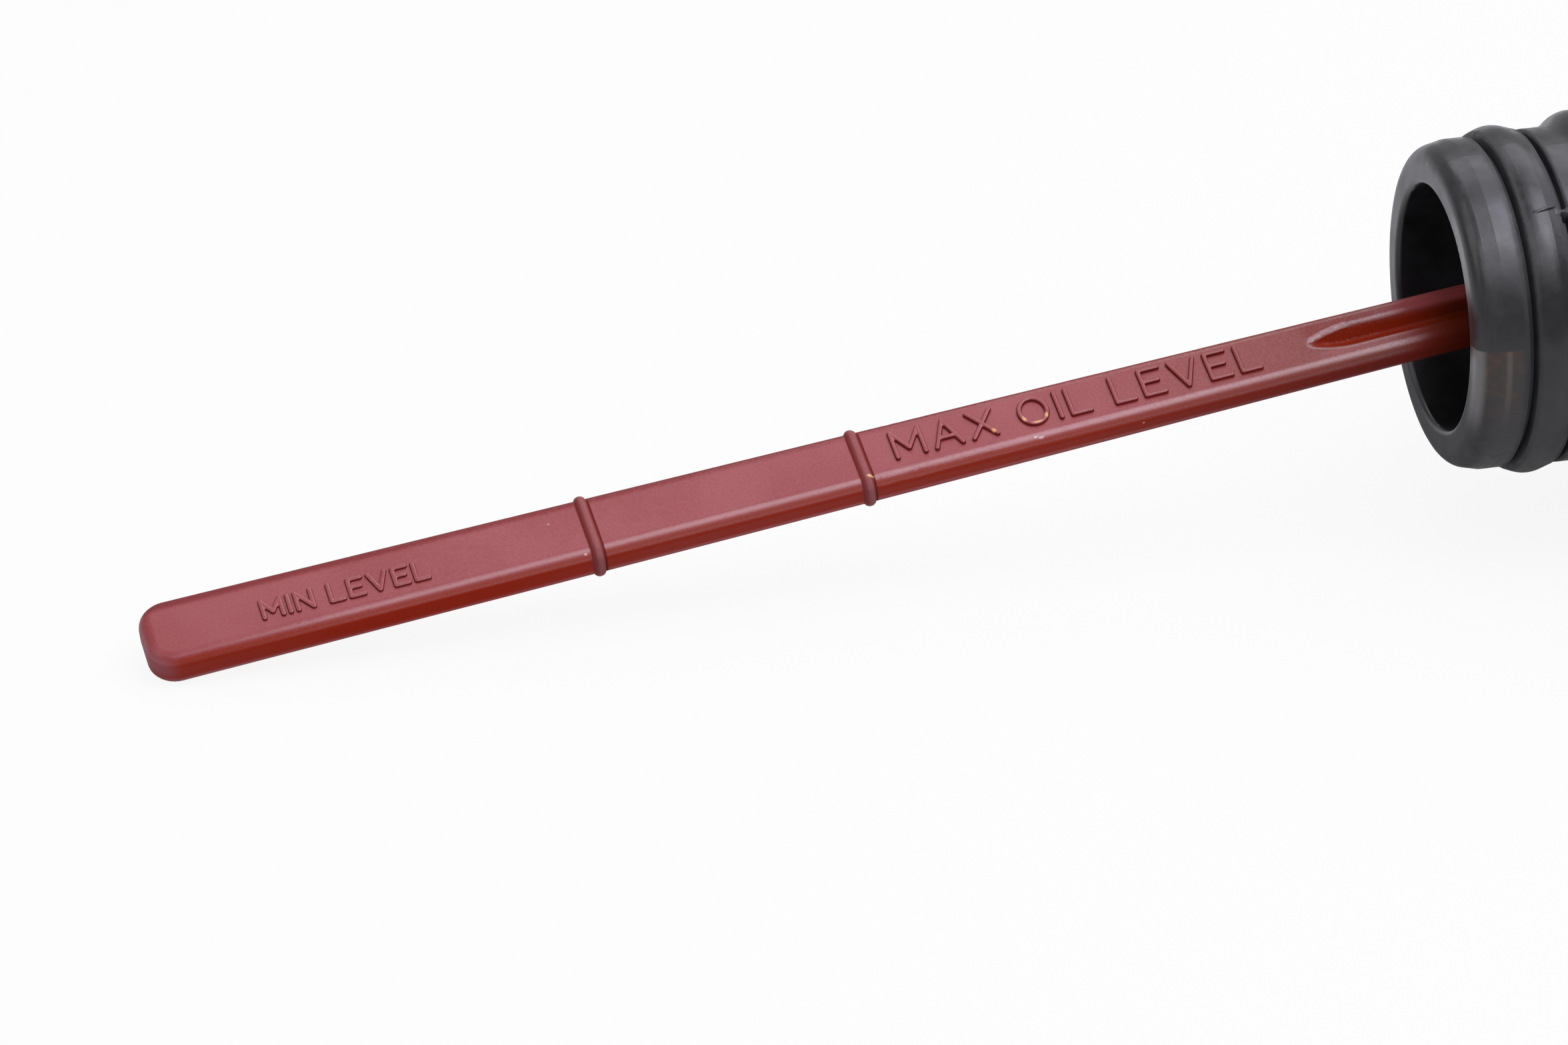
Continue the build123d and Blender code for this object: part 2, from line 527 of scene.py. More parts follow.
@dataclass(frozen=True)
class RedPlastic:
    """Satin red moulded plastic of the blade."""

    # Broad faces with a painted sheen, flanks with a painted floor reflection low down and a painted highlight at
    # the tip's end, and painted shade along the far edge
    sheen_face_red: Colour = (0.262, 0.039, 0.043)
    sheen_patch_red: Colour = (0.286, 0.052, 0.058)
    deep_red: Colour = (0.286, 0.023, 0.009)
    floor_reflection_pink: Colour = (0.400, 0.130, 0.130)
    sheen_pink: Colour = (0.310, 0.080, 0.088)
    far_edge_shade: Colour = (0.170, 0.030, 0.030)
    broad: Mask = (("level", 0.55, 0.94),)
    low: Mask = (("facing", 0.1, -0.5),)
    tip_end_sheen: Mask = (("along", 128.4, 130.6), ("up", -1.2, 0.2))
    far_edge: Mask = (("across", -2.1, -3.1),)
    far_edge_share: float = 0.8
    oily_flank: Mark = Mark((4.2, 0.2, 106.0), (1.5, 1.6, 24.0), (0.300, 0.014, 0.001), 1.0, 0.4, 0.6)

    # Level beads with painted shade on their flanks and at their foot on the plug side, a painted highlight along
    # their tops, and painted shade on the sides of the raised words
    bead_shade_brown: Colour = (0.215, 0.040, 0.036)
    bead_highlight_pink: Colour = (0.262, 0.082, 0.082)
    bead_foot_shade: Colour = (0.130, 0.014, 0.010)
    stroke_side_shade: Colour = (0.135, 0.020, 0.018)
    bead_edge: Step = (0.70, 0.54)
    bead_top_shift: float = 0.10
    bead_top: Step = (0.42, 0.14)
    bead_top_gloss: float = 0.4
    bead_foot_shift: float = 0.62
    bead_foot: Step = (0.16, 0.04)
    stroke_sides: Mask = (("lift", -0.03, 0.01), ("level", 0.94, 0.70, 0.0, 0.85))

    # Shank: a painted shadow of the plug darkening it towards the plug, painted shade in the flute, a painted sheen
    # past its near rim and on the far side, less gloss on its far rim, and painted shade in the plug's mouth
    plug_shadow_red: Colour = (0.165, 0.016, 0.010)
    flute_shade_red: Colour = (0.205, 0.014, 0.002)
    mouth_shade_brown: Colour = (0.075, 0.010, 0.002)
    shank: Mask = (("along", 52.0, 14.0),)
    flute: Mask = (("height", 1.32, 1.05), ("aside", 1.9, 1.5), ("along", 24.0, 22.5))
    far_rim: Mask = (("across", -0.5, -1.0, 0.0, 0.22), ("along", 24.0, 22.5))
    near_rim_sheen: Mask = (("across", 1.1, 1.6, 0.0, 0.32), ("across", 2.7, 2.2), ("along", 24.0, 21.0),
                      ("along", 13.5, 17.0))
    far_side_sheen: Mask = (("across", -0.7, -1.3, 0.0, 0.42), ("along", 19.0, 13.5))
    mouth_shade: Mask = (("along", 15.0, 8.0, 0.0, 0.85), ("across", -1.5, -0.7))

    # Gloss, strongest along the crests of the long edges
    coat_roughness: float = 0.29
    coat_ior: float = 1.7
    crest: Mask = (("level", 0.997, 0.960, 0.0, 0.36), ("along", 128.0, 108.0, -0.8, 1.0), ("lift", 0.03, -0.01))
    glossy: Mask = (("level", 0.24, 0.52), ("along", 11.4, 16.6))
    gloss_least: float = 0.64
    gloss_grain: Step = (0.25, 0.75, 0.72, 1.28)
    streak_depth: float = 0.3
    skin: Skin = Skin(grain_per_mm=4.6, patch_per_mm=0.11, grain_relief=0.55, streak_pitch=2.6, streak_run=14.0,
                      streak_amount=0.5, roughness=0.40, patch_roughness=0.06, streak_roughness=0.12,
                      specular=0.06, bump_strength=0.8, relief_mm=0.02)

    # Nicks and specks
    marks: tuple[Mark, ...] = (
        Mark((-1.15, 1.6, 93.7), (0.10, 0.5, 0.10), (0.72, 0.55, 0.52), 0.9, 0.8, 0.6),
        Mark((3.25, 1.5, 91.4), (0.13, 0.6, 0.20), (0.66, 0.42, 0.38), 0.8, 0.9, 0.6),
        Mark((2.75, 1.6, 64.9), (0.20, 0.9, 0.40), (0.80, 0.50, 0.24), 0.9, 1.2, 0.6),
        Mark((1.15, 1.9, 52.9), (0.34, 0.35, 0.30), (0.74, 0.34, 0.13), 0.9, 0.9, 0.6),
        Mark((0.70, 1.9, 49.9), (0.55, 0.35, 0.26), (0.74, 0.38, 0.17), 0.9, 1.1, 0.6),
        Mark((1.35, 1.9, 48.9), (0.24, 0.35, 0.62), (0.70, 0.36, 0.16), 0.9, 1.1, 0.6),
        Mark((0.85, 1.9, 47.9), (0.42, 0.35, 0.24), (0.74, 0.40, 0.18), 0.8, 1.1, 0.6),
        Mark((2.80, 1.2, 49.5), (0.12, 0.6, 0.22), (0.70, 0.56, 0.57), 0.8, 1.8, 0.7),
        Mark((2.95, 1.2, 49.0), (0.14, 0.6, 0.34), (0.66, 0.50, 0.52), 0.7, 2.2, 0.7),
        Mark((3.60, 0.35, 39.6), (0.5, 0.13, 0.16), (0.66, 0.34, 0.26), 0.8, 0.8, 0.6),
    )

    def paint_body(self, at: Place, patch: Socket) -> Socket:
        """Colour the broad faces with a painted sheen, and the flanks with a painted floor reflection and a painted
        highlight at the tip.

        Args:
            at: Place on the blade.
            patch: Mask of the soft patches.

        Returns:
            The colour.
        """
        graph = at.graph
        # Painted reflection of the floor: surfaces that face down are paler pink.
        flank = graph.blend(at.mask(self.low), self.deep_red, self.floor_reflection_pink)
        # Painted highlight: the lower part of the tip's end is hazy pink.
        flank = graph.blend(at.mask(self.tip_end_sheen), flank, self.sheen_pink)
        # Painted sheen: the broad faces take a paler, pinker red than the flanks, stepped in by how far they face
        # out of the blade.
        face = graph.blend(patch, self.sheen_face_red, self.sheen_patch_red)
        colour = graph.blend(at.mask(self.broad), flank, face)
        return paint_marks(graph, colour, at.vector, (self.oily_flank,))

    def paint_beads(self, at: Place, colour: Socket, dull: Socket, beads: Sequence[float]) -> tuple[Socket, Socket]:
        """Colour the level beads with painted shade and a painted highlight, and paint shade on the sides of the
        words that stand clear of them.

        Args:
            at: Place on the blade.
            colour: Colour under them.
            dull: Mask of what has no gloss.
            beads: Stations of the beads.

        Returns:
            The colour and the mask with the beads and the words.
        """
        graph = at.graph
        clear: Value = 1.0
        for station in beads:
            bead = at.near("along", station, self.bead_edge)
            # Painted shade: the bead is darker than the face round it.
            colour = graph.blend(bead, colour, self.bead_shade_brown)
            top = at.near("along", station - self.bead_top_shift, self.bead_top)
            # Painted highlight along the bead's top, a little towards the plug.
            colour = graph.blend(top, colour, self.bead_highlight_pink)
            foot = at.near("along", station - self.bead_foot_shift, self.bead_foot)
            # Painted shade at the bead's foot on the plug side.
            colour = graph.blend(foot, colour, self.bead_foot_shade)
            flanks = graph.math("SUBTRACT", bead, graph.times(top, self.bead_top_gloss))
            dull = graph.math("MAXIMUM", dull, graph.math("MAXIMUM", foot, flanks))
            clear = graph.math("SUBTRACT", clear, bead, clamp=True)
        # Painted shade on the sloping sides of the raised words.
        proud = graph.times(at.mask(self.stroke_sides), clear)
        return graph.blend(proud, colour, self.stroke_side_shade), graph.math("MAXIMUM", dull, proud)

    def paint_shank(self, at: Place, colour: Socket, dull: Socket) -> tuple[Socket, Socket]:
        """Colour the fluted shank with painted shade and painted sheen.

        Args:
            at: Place on the blade.
            colour: Colour under it.
            dull: Mask of what has no gloss.

        Returns:
            The colour and the mask with the shank.
        """
        graph = at.graph
        # Painted shadow of the plug: the blade darkens towards it.
        colour = graph.blend(at.mask(self.shank), colour, self.plug_shadow_red)
        flute = at.mask(self.flute)
        # Painted shade in the flute's recess.
        colour = graph.blend(flute, colour, self.flute_shade_red)
        # Painted sheen along the strip past the flute's near rim and on the far side near the mouth.
        sheen_lift = graph.math("MAXIMUM", at.mask(self.near_rim_sheen), at.mask(self.far_side_sheen))
        colour = graph.blend(sheen_lift, colour, self.sheen_pink)
        dull = graph.math("MAXIMUM", dull, graph.math("MAXIMUM", flute, at.mask(self.far_rim)))
        # Painted shade on the blade inside the plug's mouth.
        return graph.blend(at.mask(self.mouth_shade), colour, self.mouth_shade_brown), dull

    def gloss(self, at: Place, grain: Socket) -> Socket:
        """Gloss of the plastic where nothing dulls it.

        Args:
            at: Place on the blade.
            grain: Value of the fine grain.

        Returns:
            The gloss.
        """
        crest = at.graph.math("ADD", at.mask(self.crest), self.gloss_least)
        return at.graph.times(at.mask(self.glossy), crest, at.graph.ramp(grain, *self.gloss_grain))

    def material(self, axes: Matrix, origin: Vector, beads: Sequence[float], face: Point) -> bpy.types.Material:
        """Make the plastic.

        Args:
            axes: Rows are across the blade, out of its broad face, and along it to the tip.
            origin: The blade's origin, in metres.
            beads: Stations of the level beads.
            face: Height of the broad face at station 0, and its rise for each millimetre along.

        Returns:
            The material.
        """
        material, graph, shader = start_material("red_plastic")
        at = blade_place(graph, axes, origin, face)
        grain, streaks = self.skin.effects(graph, at.vector, at.joined("along", "across", "up"))

        colour = self.paint_body(at, grain.outputs["Patch"])
        # Painted shade darkens the far edge, which also loses its gloss.
        dull = at.mask(self.far_edge)
        colour = graph.blend(graph.times(dull, self.far_edge_share), colour, self.far_edge_shade)
        colour, dull = self.paint_beads(at, colour, dull, beads)
        colour, dull = self.paint_shank(at, colour, dull)
        graph.feed(shader.inputs["Base Color"], paint_marks(graph, colour, at.vector, self.marks))

        graph.feed(shader.inputs["Roughness"], self.skin.rough(graph, grain, streaks))
        gloss = self.gloss(at, grain.outputs["Grain"])
        graph.feed(shader.inputs["Coat Weight"], graph.math("SUBTRACT", gloss, dull, clamp=True))
        shader.inputs["Coat Roughness"].default_value = self.coat_roughness
        shader.inputs["Coat IOR"].default_value = self.coat_ior
        height = graph.math("SUBTRACT", grain.outputs["Height"], graph.times(streaks, self.streak_depth))
        self.skin.finish(graph, shader, height)
        return material


@dataclass(frozen=True)
class BlackRubber:
    """Satin black rubber of the plug, rubbed pale where it seals."""

    black: Colour = (0.0085, 0.0085, 0.0098)
    grey: Colour = (0.0165, 0.0165, 0.0185)

    # Rubbed patch on the lip, below a sharp line: its rust, and a painted highlight along the crease between bevel
    # and land
    rubbed: Colour = (0.031, 0.020, 0.010)
    rust: Colour = (0.060, 0.024, 0.008)
    crease_highlight_grey: Colour = (0.088, 0.073, 0.060)
    rub_line: Mask = (("arc", 2.9, 2.7),)
    rub_fade: Mask = (("arc", -7.0, 1.0),)
    rub_end: Mask = (("station", 4.1, 3.6),)
    rub_share: float = 0.5
    streak_share: float = 0.35
    rust_per_mm: float = 1.3
    rust_noise: Step = (0.35, 0.75)
    rust_share: float = 0.8
    edge_station: float = 2.65
    edge_width: Step = (0.42, 0.06)
    edge_share: float = 0.7

    # Painted highlight on the mouth: the rim above the blade, and the lip's shoulder below it
    mouth_highlight_grey: Colour = (0.150, 0.146, 0.142)
    rim_radius: float = 12.3
    rim_width: Step = (1.1, 0.5)
    rim: Mask = (("arc", 6.5, 10.5), ("arc", 19.0, 15.0), ("station", 0.8, 0.5))
    shoulder_station: float = 0.1
    shoulder_width: Step = (0.78, 0.05, 0.0, 0.95)
    shoulder: Mask = (("radius", 11.6, 13.0), ("arc", -8.0, -3.0))

    # Uneven roughness: mottle and blotches on the outside, dull grooves and a dusty lower lip
    mottle: float = 0.12
    mottle_middle: float = 0.5
    blotch_per_mm: float = 0.7
    blotch_step: Step = (0.3, 0.7, -0.06, 0.06)
    groove_stations: tuple[float, ...] = (4.925, 9.275)
    groove_width: Step = (0.95, 0.5, 0.0, 0.25)
    outside: Mask = (("radius", 12.5, 14.2),)
    dusty: Mask = (("station", 2.4, 0.8, 0.0, 0.3), ("arc", 3.0, -5.0), ("arc", -45.0, -30.0),
                   ("radius", 11.4, 11.8))
    skin: Skin = Skin(grain_per_mm=3.2, patch_per_mm=0.22, grain_relief=0.5, streak_pitch=3.0, streak_run=10.0,
                      streak_amount=0.7, roughness=0.29, patch_roughness=0.08, streak_roughness=0.1,
                      specular=0.56, bump_strength=0.5, relief_mm=0.03)

    # Painted sheen on the sealing land: station, arc and radius
    marks: tuple[Mark, ...] = (
        Mark((3.8, 15.7, 15.0), (1.2, 2.6, 2.0), (0.050, 0.050, 0.066), 0.6, 0.9, 0.9),
    )

    def paint(self, at: Place, patch: Socket, streaks: Socket) -> Socket:
        """Colour the rubber, with painted highlights on the bevel's crease, the mouth's rim and the lip's shoulder,
        and a painted sheen on the sealing land.

        Args:
            at: Place on the plug.
            patch: Mask of the soft patches.
            streaks: Mask of the rubbing marks.

        Returns:
            The colour.
        """
        graph = at.graph
        below = at.mask(self.rub_line)
        fading = graph.times(below, at.mask(self.rub_fade))
        rubbed = graph.times(fading, at.mask(self.rub_end))
        rusty = graph.ramp(graph.noise(at.vector, self.rust_per_mm, detail=5.0), *self.rust_noise)
        edge = graph.times(at.near("station", self.edge_station, self.edge_width), fading)
        colour = graph.blend(patch, self.black, self.grey)
        colour = graph.blend(graph.times(streaks, self.streak_share), colour, self.rubbed)
        colour = graph.blend(graph.times(rubbed, self.rub_share), colour, self.rubbed)
        colour = graph.blend(graph.times(rubbed, rusty, self.rust_share), colour, self.rust)
        # Painted highlight along the crease between bevel and land.
        colour = graph.blend(graph.times(edge, self.edge_share), colour, self.crease_highlight_grey)

        # Painted highlight on the mouth's rim and the lip's shoulder.
        rim = graph.times(at.near("radius", self.rim_radius, self.rim_width), at.mask(self.rim))
        shoulder = at.near("station", self.shoulder_station, self.shoulder_width)
        shoulder = graph.times(shoulder, below, at.mask(self.shoulder))
        colour = graph.blend(graph.math("MAXIMUM", rim, shoulder), colour, self.mouth_highlight_grey)
        return paint_marks(graph, colour, at.joined("station", "arc", "radius"), self.marks)

    def uneven(self, at: Place, grain: Socket) -> Socket:
        """Roughness that the handled rubber has over its even skin.

        Args:
            at: Place on the plug.
            grain: Value of the fine grain.

        Returns:
            The added roughness.
        """
        graph = at.graph
        mottle = graph.times(graph.math("SUBTRACT", grain, self.mottle_middle), self.mottle)
        blotch = graph.ramp(graph.noise(at.vector, self.blotch_per_mm, detail=4.0), *self.blotch_step)
        outside = graph.math("ADD", mottle, blotch)
        for station in self.groove_stations:
            outside = graph.math("ADD", outside, at.near("station", station, self.groove_width))
        return graph.math("ADD", graph.times(outside, at.mask(self.outside)), at.mask(self.dusty))

    def material(self, origin: Vector) -> bpy.types.Material:
        """Make the rubber.

        Args:
            origin: Middle of the plug's mouth, in metres.

        Returns:
            The material.
        """
        material, graph, shader = start_material("black_rubber")
        at = plug_place(graph, origin)
        grain, streaks = self.skin.effects(graph, at.vector, at.joined("arc", "station", "radius"))
        graph.feed(shader.inputs["Base Color"], self.paint(at, grain.outputs["Patch"], streaks))
        rough = self.skin.rough(graph, grain, streaks)
        graph.feed(shader.inputs["Roughness"], graph.math("ADD", rough, self.uneven(at, grain.outputs["Grain"])))
        self.skin.finish(graph, shader, grain.outputs["Height"])
        return material


@dataclass(frozen=True)
class Letter:
    """A letter as single lines, one unit high."""

    width: float
    strokes: tuple[tuple[Point, ...], ...]


def oval(width: float, count: int = 28) -> tuple[Point, ...]:
    """Closed line round an oval one unit high.

    Args:
        width: Width of the oval.
        count: Number of points round it.

    Returns:
        The points, the first of them again at the end.
    """
    turns = [2 * pi * step / count for step in range(count + 1)]
    return tuple((width / 2 + width / 2 * cos(turn), 0.5 + 0.5 * sin(turn)) for turn in turns)


ALPHABET: dict[str, Letter] = {
    "A": Letter(0.78, (((0, 0), (0.39, 1), (0.78, 0)), ((0.14, 0.34), (0.64, 0.34)))),
    "E": Letter(0.58, (((0.58, 1), (0, 1), (0, 0), (0.58, 0)), ((0, 0.52), (0.48, 0.52)))),
    "I": Letter(0.0, (((0, 0), (0, 1)),)),
    "L": Letter(0.54, (((0, 1), (0, 0), (0.54, 0)),)),
    "M": Letter(0.84, (((0, 0), (0, 1), (0.42, 0.28), (0.84, 1), (0.84, 0)),)),
    "N": Letter(0.68, (((0, 0), (0, 1), (0.68, 0), (0.68, 1)),)),
    "O": Letter(0.80, (oval(0.80),)),
    "V": Letter(0.74, (((0, 1), (0.37, 0), (0.74, 1)),)),
    "X": Letter(0.70, (((0, 0), (0.70, 1)), ((0, 1), (0.70, 0)))),
}


@dataclass(frozen=True)
class Legend:
    """Raised words on the blade's broad face."""

    name: str
    words: Words
    start: float
    across: float
    height: float
    stroke_radius: float
    relief: float
    letter_gap: float = 0.34
    word_gap: float = 0.80

    def lines(self) -> list[list[Point]]:
        """Single lines of the words.

        Returns:
            Lines of points in millimetres, from the left foot of the first letter.
        """
        found = []
        reached = 0.0
        for character in self.words.value:
            if character == " ":
                reached += self.word_gap - self.letter_gap
                continue
            letter = ALPHABET[character]
            for stroke in letter.strokes:
                found.append([((reached + x) * self.height, y * self.height) for x, y in stroke])
            reached += letter.width + self.letter_gap
        return found


def dress_node(name: str, material: bpy.types.Material) -> None:
    """Give a node of the solids its material.

    Args:
        name: Name of the node.
        material: Its material.
    """
    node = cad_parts[name]
    node.data.materials.clear()
    node.data.materials.append(material)
    LOG.info("dressed %s", name)


def new_piece(name: str, mesh: bpy.types.Mesh, material: bpy.types.Material) -> None:
    """Add a finished mesh to the object, riding on its one body.

    Args:
        name: Name of the piece.
        mesh: Its mesh, in metres in the frame of the solids.
        material: Its material.
    """
    mesh.shade_smooth()
    mesh.materials.append(material)
    piece = bpy.data.objects.new(name, mesh)
    bpy.context.scene.collection.objects.link(piece)
    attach(piece, BODY)
    LOG.info("piece %s: %d faces", name, len(mesh.polygons))


def closed_mesh(name: str, shape: bmesh.types.BMesh) -> bpy.types.Mesh:
    """Turn the faces of a closed shape outward and make a mesh of it.

    Args:
        name: Name of the mesh.
        shape: The shape, which is used up.

    Returns:
        The mesh.
    """
    bmesh.ops.recalc_face_normals(shape, faces=shape.faces)
    mesh = bpy.data.meshes.new(name)
    shape.to_mesh(mesh)
    shape.free()
    return mesh


def even(span: Point, count: int) -> list[float]:
    """Evenly spaced values from the first to the last of a span."""
    return [span[0] + (span[1] - span[0]) * step / (count - 1) for step in range(count)]


def round_lines(lines: Sequence[Sequence[Point]], radius: float, voxel: float) -> bpy.types.Mesh:
    """Fuse round bars along flat lines into one smooth skin.

    Args:
        lines: Lines of points.
        radius: Radius of the bars.
        voxel: Size of the cells that the skin is made on.

    Returns:
        The skin, in the units of the points.
    """
    bars = bmesh.new()
    for line in lines:
        points = [Vector((*point, 0)) for point in line]
        for point in points:
            bmesh.ops.create_uvsphere(bars, u_segments=BAR_SIDES, v_segments=BALL_RINGS, radius=radius,
                                      matrix=Matrix.Translation(point))
        for first, last in zip(points, points[1:]):
            run = last - first
            turn = run.to_track_quat("Z", "Y").to_matrix().to_4x4()
            bmesh.ops.create_cone(bars, cap_ends=True, segments=BAR_SIDES, radius1=radius, radius2=radius,
                                  depth=run.length, matrix=Matrix.Translation((first + last) / 2) @ turn)
    rough = bpy.data.meshes.new("bars")
    bars.to_mesh(rough)
    bars.free()
    holder = bpy.data.objects.new("bars", rough)
    bpy.context.scene.collection.objects.link(holder)
    skin = holder.modifiers.new("skin", "REMESH")
    skin.mode = "VOXEL"
    skin.voxel_size = voxel
    ease = holder.modifiers.new("ease", "SMOOTH")
    ease.factor = EASE_SHARE
    ease.iterations = EASE_ROUNDS
    fused = bpy.data.meshes.new_from_object(holder.evaluated_get(bpy.context.evaluated_depsgraph_get()))
    bpy.data.objects.remove(holder)
    bpy.data.meshes.remove(rough)
    return fused


@dataclass
class GaugeBlade:
    """The moulded blade: its node's finish, its raised words and its parting seams."""

    mouth: Vector
    node: str = "gauge_blade"
    reach: float = 131.35
    socket_depth: float = 8.0
    tip_width: float = 7.9
    tip_thickness: float = 3.45
    root_width: float = 6.2
    root_thickness: float = 2.7
    edge_round: float = 1.15
    roll: float = radians(16.8)
    hollow_depth: float = 11.3
    axis_height: float = 21.9
    low_bead: float = 90.3
    bead_spacing: float = 25.1
    words_sink: float = 0.02
    words_squareness: float = 0.45
    words_voxel: float = 0.05
    seam_radius: float = 0.07
    seam_turn: float = radians(-24.0)
    seam_span: Point = (14.0, 126.0)
    seam_steps: int = 120
    seam_sides: int = 8
    seam_taper: float = 0.25
    weld_gap: float = 1e-7
    finish: RedPlastic = field(default_factory=RedPlastic)
    legends: tuple[Legend, ...] = (
        Legend("words_low", Words.LOW, start=120.4, across=1.65, height=2.05, stroke_radius=0.25, relief=0.24),
        Legend("words_high", Words.HIGH, start=61.9, across=1.45, height=3.1, stroke_radius=0.24, relief=0.32),
    )
    axes: Matrix = field(init=False)
    origin: Vector = field(init=False)
    material: bpy.types.Material = field(init=False)

    def __post_init__(self) -> None:
        """Work out the blade's axes, as the solids have them."""
        corner = (self.tip_width / 2 - self.edge_round) * sin(self.roll)
        corner += (self.tip_thickness / 2 - self.edge_round) * cos(self.roll) + self.edge_round
        rest = self.reach - self.edge_round
        lean = asin(self.axis_height / hypot(rest, corner)) - atan2(corner, rest)
        along = Vector((-cos(lean), 0, -sin(lean)))
        across = Vector((sin(self.roll) * sin(lean), -cos(self.roll), -sin(self.roll) * cos(lean)))
        self.axes = Matrix((across, along.cross(across), along))
        self.origin = self.mouth + Vector((self.hollow_depth * MM, 0, 0))
        beads = (self.low_bead, self.low_bead - self.bead_spacing)
        face_start = self.half_size(0.0)[1]
        face_rise = self.half_size(1.0)[1] - face_start
        self.material = self.finish.material(self.axes, self.origin, beads, (face_start, face_rise))

    def half_size(self, station: float) -> Point:
        """Size of the tapered blade at a station.

        Args:
            station: Millimetres from the socket's mouth.

        Returns:
            Half the width and half the thickness.
        """
        share = (station + self.socket_depth) / (self.reach + self.socket_depth)
        width = self.root_width + share * (self.tip_width - self.root_width)
        thickness = self.root_thickness + share * (self.tip_thickness - self.root_thickness)
        return width / 2, thickness / 2

    def at(self, across: float, up: float, station: float) -> Vector:
        """Point of the blade's own coordinates, in metres in the frame of the solids."""
        return self.origin + self.axes.transposed() @ (Vector((across, up, station)) * MM)

    def dress(self) -> None:
        """Give the blade's node its finish."""
        dress_node(self.node, self.material)

    def build_words(self) -> None:
        """Raise the level words from the broad face."""
        for legend in self.legends:
            mesh = round_lines(legend.lines(), legend.stroke_radius, self.words_voxel)
            for vertex in mesh.vertices:
                station = legend.start - vertex.co.x
                share = vertex.co.z / legend.stroke_radius
                lift = legend.relief * share ** self.words_squareness if share > 0 else vertex.co.z
                up = self.half_size(station)[1] + lift - self.words_sink
                vertex.co = self.at(legend.across - vertex.co.y, up, station)
            new_piece(legend.name, mesh, self.material)

    def build_seams(self) -> None:
        """Run a fine moulding seam along each side's lower rounding."""
        sides = self.seam_sides
        for name, way in (("seam_near", 1), ("seam_far", -1)):
            shape = bmesh.new()
            rings = []
            for step, station in enumerate(even(self.seam_span, self.seam_steps + 1)):
                half_width, half_thickness = self.half_size(station)
                centre_x = half_width - self.edge_round + self.edge_round * cos(self.seam_turn)
                centre_y = self.edge_round - half_thickness + self.edge_round * sin(self.seam_turn)
                from_end = min(step, self.seam_steps - step)
                swell = self.seam_radius * min(1.0, from_end / self.seam_steps / self.seam_taper)
                turns = [2 * pi * corner / sides for corner in range(sides)]
                places = [(way * (centre_x + swell * cos(turn)), centre_y + swell * sin(turn)) for turn in turns]
                rings.append([shape.verts.new(self.at(across, up, station)) for across, up in places])
            for first, last in zip(rings, rings[1:]):
                for corner in range(sides):
                    following = (corner + 1) % sides
                    shape.faces.new((first[corner], first[following], last[following], last[corner]))
            bmesh.ops.remove_doubles(shape, verts=shape.verts, dist=self.weld_gap)
            new_piece(name, closed_mesh(name, shape), self.material)


